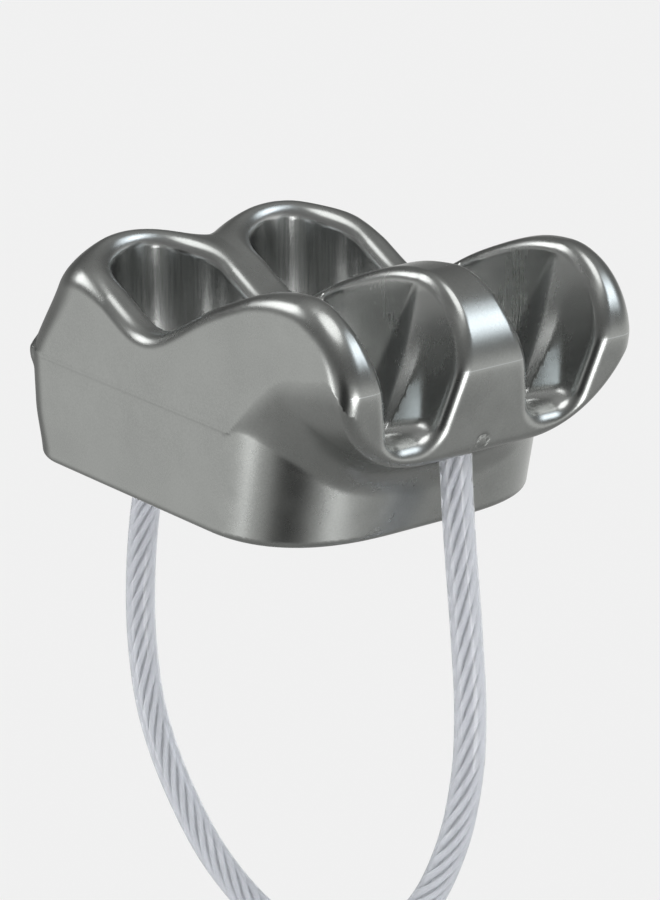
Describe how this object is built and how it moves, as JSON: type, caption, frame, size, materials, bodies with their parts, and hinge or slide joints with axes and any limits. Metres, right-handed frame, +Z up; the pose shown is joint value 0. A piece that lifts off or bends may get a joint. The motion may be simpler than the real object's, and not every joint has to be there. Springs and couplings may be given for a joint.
{
  "type": "belay device",
  "caption": "Forged tube-style belay device with side-by-side rope slots, V friction grooves at the front and a sheathed steel wire keeper loop hanging below.",
  "frame": {"origin": "centre of the seat where the middle web's flat underside bears on the locking carabiner", "axes": "+X along the rope slots towards the grooved front end, +Y across the slots towards the far side, +Z up, away from the carabiner"},
  "size_m": [0.0659, 0.0402, 0.0881],
  "materials": {
    "anodised_aluminium": "hot forged, satin anodised grey",
    "ferrule_metal": "swaged, plain",
    "strand_steel": "drawn stainless wire, twisted",
    "clear_sheath": "clear extruded plastic, slightly milky"
  },
  "bodies": {
    "device_body": {"body": "anodised_aluminium", "front_ferrule": "ferrule_metal", "rear_ferrule": "ferrule_metal"},
    "keeper_loop": {"cable_sheath": "clear_sheath", "core_strand": "strand_steel", "outer_strand_1": "strand_steel", "outer_strand_2": "strand_steel", "outer_strand_3": "strand_steel", "outer_strand_4": "strand_steel", "outer_strand_5": "strand_steel", "outer_strand_6": "strand_steel"}
  },
  "joints": [
    {"name": "loop_flex", "type": "hinge", "parent": "device_body", "child": "keeper_loop", "pos_m": [0, 0, 0.002], "axis": [1, 0, 0], "range_deg": [-40, 40], "stiffness_Nm_per_rad": 0.25, "deforming": ["cable_sheath", "core_strand", "outer_strand_1", "outer_strand_2", "outer_strand_3", "outer_strand_4", "outer_strand_5", "outer_strand_6"]}
  ]
}
